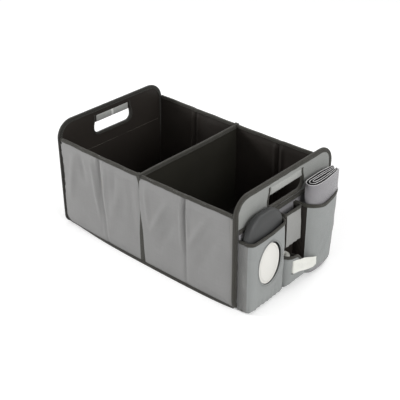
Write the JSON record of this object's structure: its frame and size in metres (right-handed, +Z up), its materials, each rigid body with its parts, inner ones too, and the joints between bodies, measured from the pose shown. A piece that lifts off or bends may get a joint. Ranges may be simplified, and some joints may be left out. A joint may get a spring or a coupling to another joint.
{
  "type": "car trunk organizer",
  "caption": "Open folding trunk box of stiffened grey cloth with a divider, cut-out handles and a row of hang-on pockets holding a wipes case, a folded mat and a bag roll.",
  "frame": {"origin": "centre of the base of the box, on the floor, midway between the end panels and between the side walls", "axes": "+X along the box towards the end with the pockets, +Y across the box towards the back wall, +Z up"},
  "size_m": [0.6304, 0.356, 0.29],
  "materials": {
    "grey_cloth": "woven polyester, matt, seamed",
    "black_lining": "coated woven lining, matt",
    "binding_tape": "ribbed polyester tape",
    "grip_cloth": "padded webbing sleeve",
    "stiffener_board": "extruded board, hidden in the cloth",
    "case_shell": "moulded, fine matt grain",
    "lid_plastic": "moulded, satin",
    "wipes_pad": "folded soft wipes",
    "bag_film": "thin milky film",
    "mat_cloth": "coated cloth over thin foam"
  },
  "bodies": {
    "organizer": {"back_corner_tape_1": "binding_tape", "back_corner_tape_2": "binding_tape", "back_middle_tape": "binding_tape", "back_wall_binding": "binding_tape", "back_wall_board_1": "stiffener_board", "back_wall_board_2": "stiffener_board", "back_wall_board_3": "stiffener_board", "back_wall_board_4": "stiffener_board", "back_wall_cover": "grey_cloth", "back_wall_lining": "black_lining", "bag_roll": "bag_film", "base_board_left": "black_lining", "base_board_right": "black_lining", "base_cloth": "binding_tape", "changing_mat": "mat_cloth", "divider_binding": "binding_tape", "divider_board": "stiffener_board", "divider_face_left": "black_lining", "divider_face_right": "black_lining", "front_corner_tape_1": "binding_tape", "front_corner_tape_2": "binding_tape", "front_middle_tape": "binding_tape", "front_wall_binding": "binding_tape", "front_wall_board_1": "stiffener_board", "front_wall_board_2": "stiffener_board", "front_wall_board_3": "stiffener_board", "front_wall_board_4": "stiffener_board", "front_wall_cover": "grey_cloth", "front_wall_lining": "black_lining", "left_end_board": "stiffener_board", "left_end_cover": "grey_cloth", "left_end_edge_binding": "binding_tape", "left_end_grip": "grip_cloth", "left_end_lining": "black_lining", "left_end_slot_binding": "binding_tape", "mat_pocket": "grey_cloth", "mat_pocket_rim": "binding_tape", "pulled_bag": "bag_film", "right_end_board": "stiffener_board", "right_end_cover": "grey_cloth", "right_end_edge_binding": "binding_tape", "right_end_grip": "grip_cloth", "right_end_lining": "black_lining", "right_end_slot_binding": "binding_tape", "roll_pocket": "grey_cloth", "roll_pocket_rim": "binding_tape", "row_binding": "binding_tape", "row_panel": "grey_cloth", "small_pocket": "grey_cloth", "small_pocket_rim": "binding_tape", "wipes_case_back": "case_shell", "wipes_case_front": "case_shell", "wipes_lid_frame": "lid_plastic", "wipes_lid_pin": "lid_plastic", "wipes_pocket": "grey_cloth", "wipes_pocket_rim": "binding_tape", "wipes_stack": "wipes_pad"},
    "lid": {"wipes_lid": "lid_plastic"}
  },
  "joints": [
    {"name": "wipes_lid_hinge", "type": "hinge", "parent": "organizer", "child": "lid", "pos_m": [0.3235, -0.1035, 0.1615], "axis": [0, -1, 0], "range_deg": [0, 100]}
  ]
}
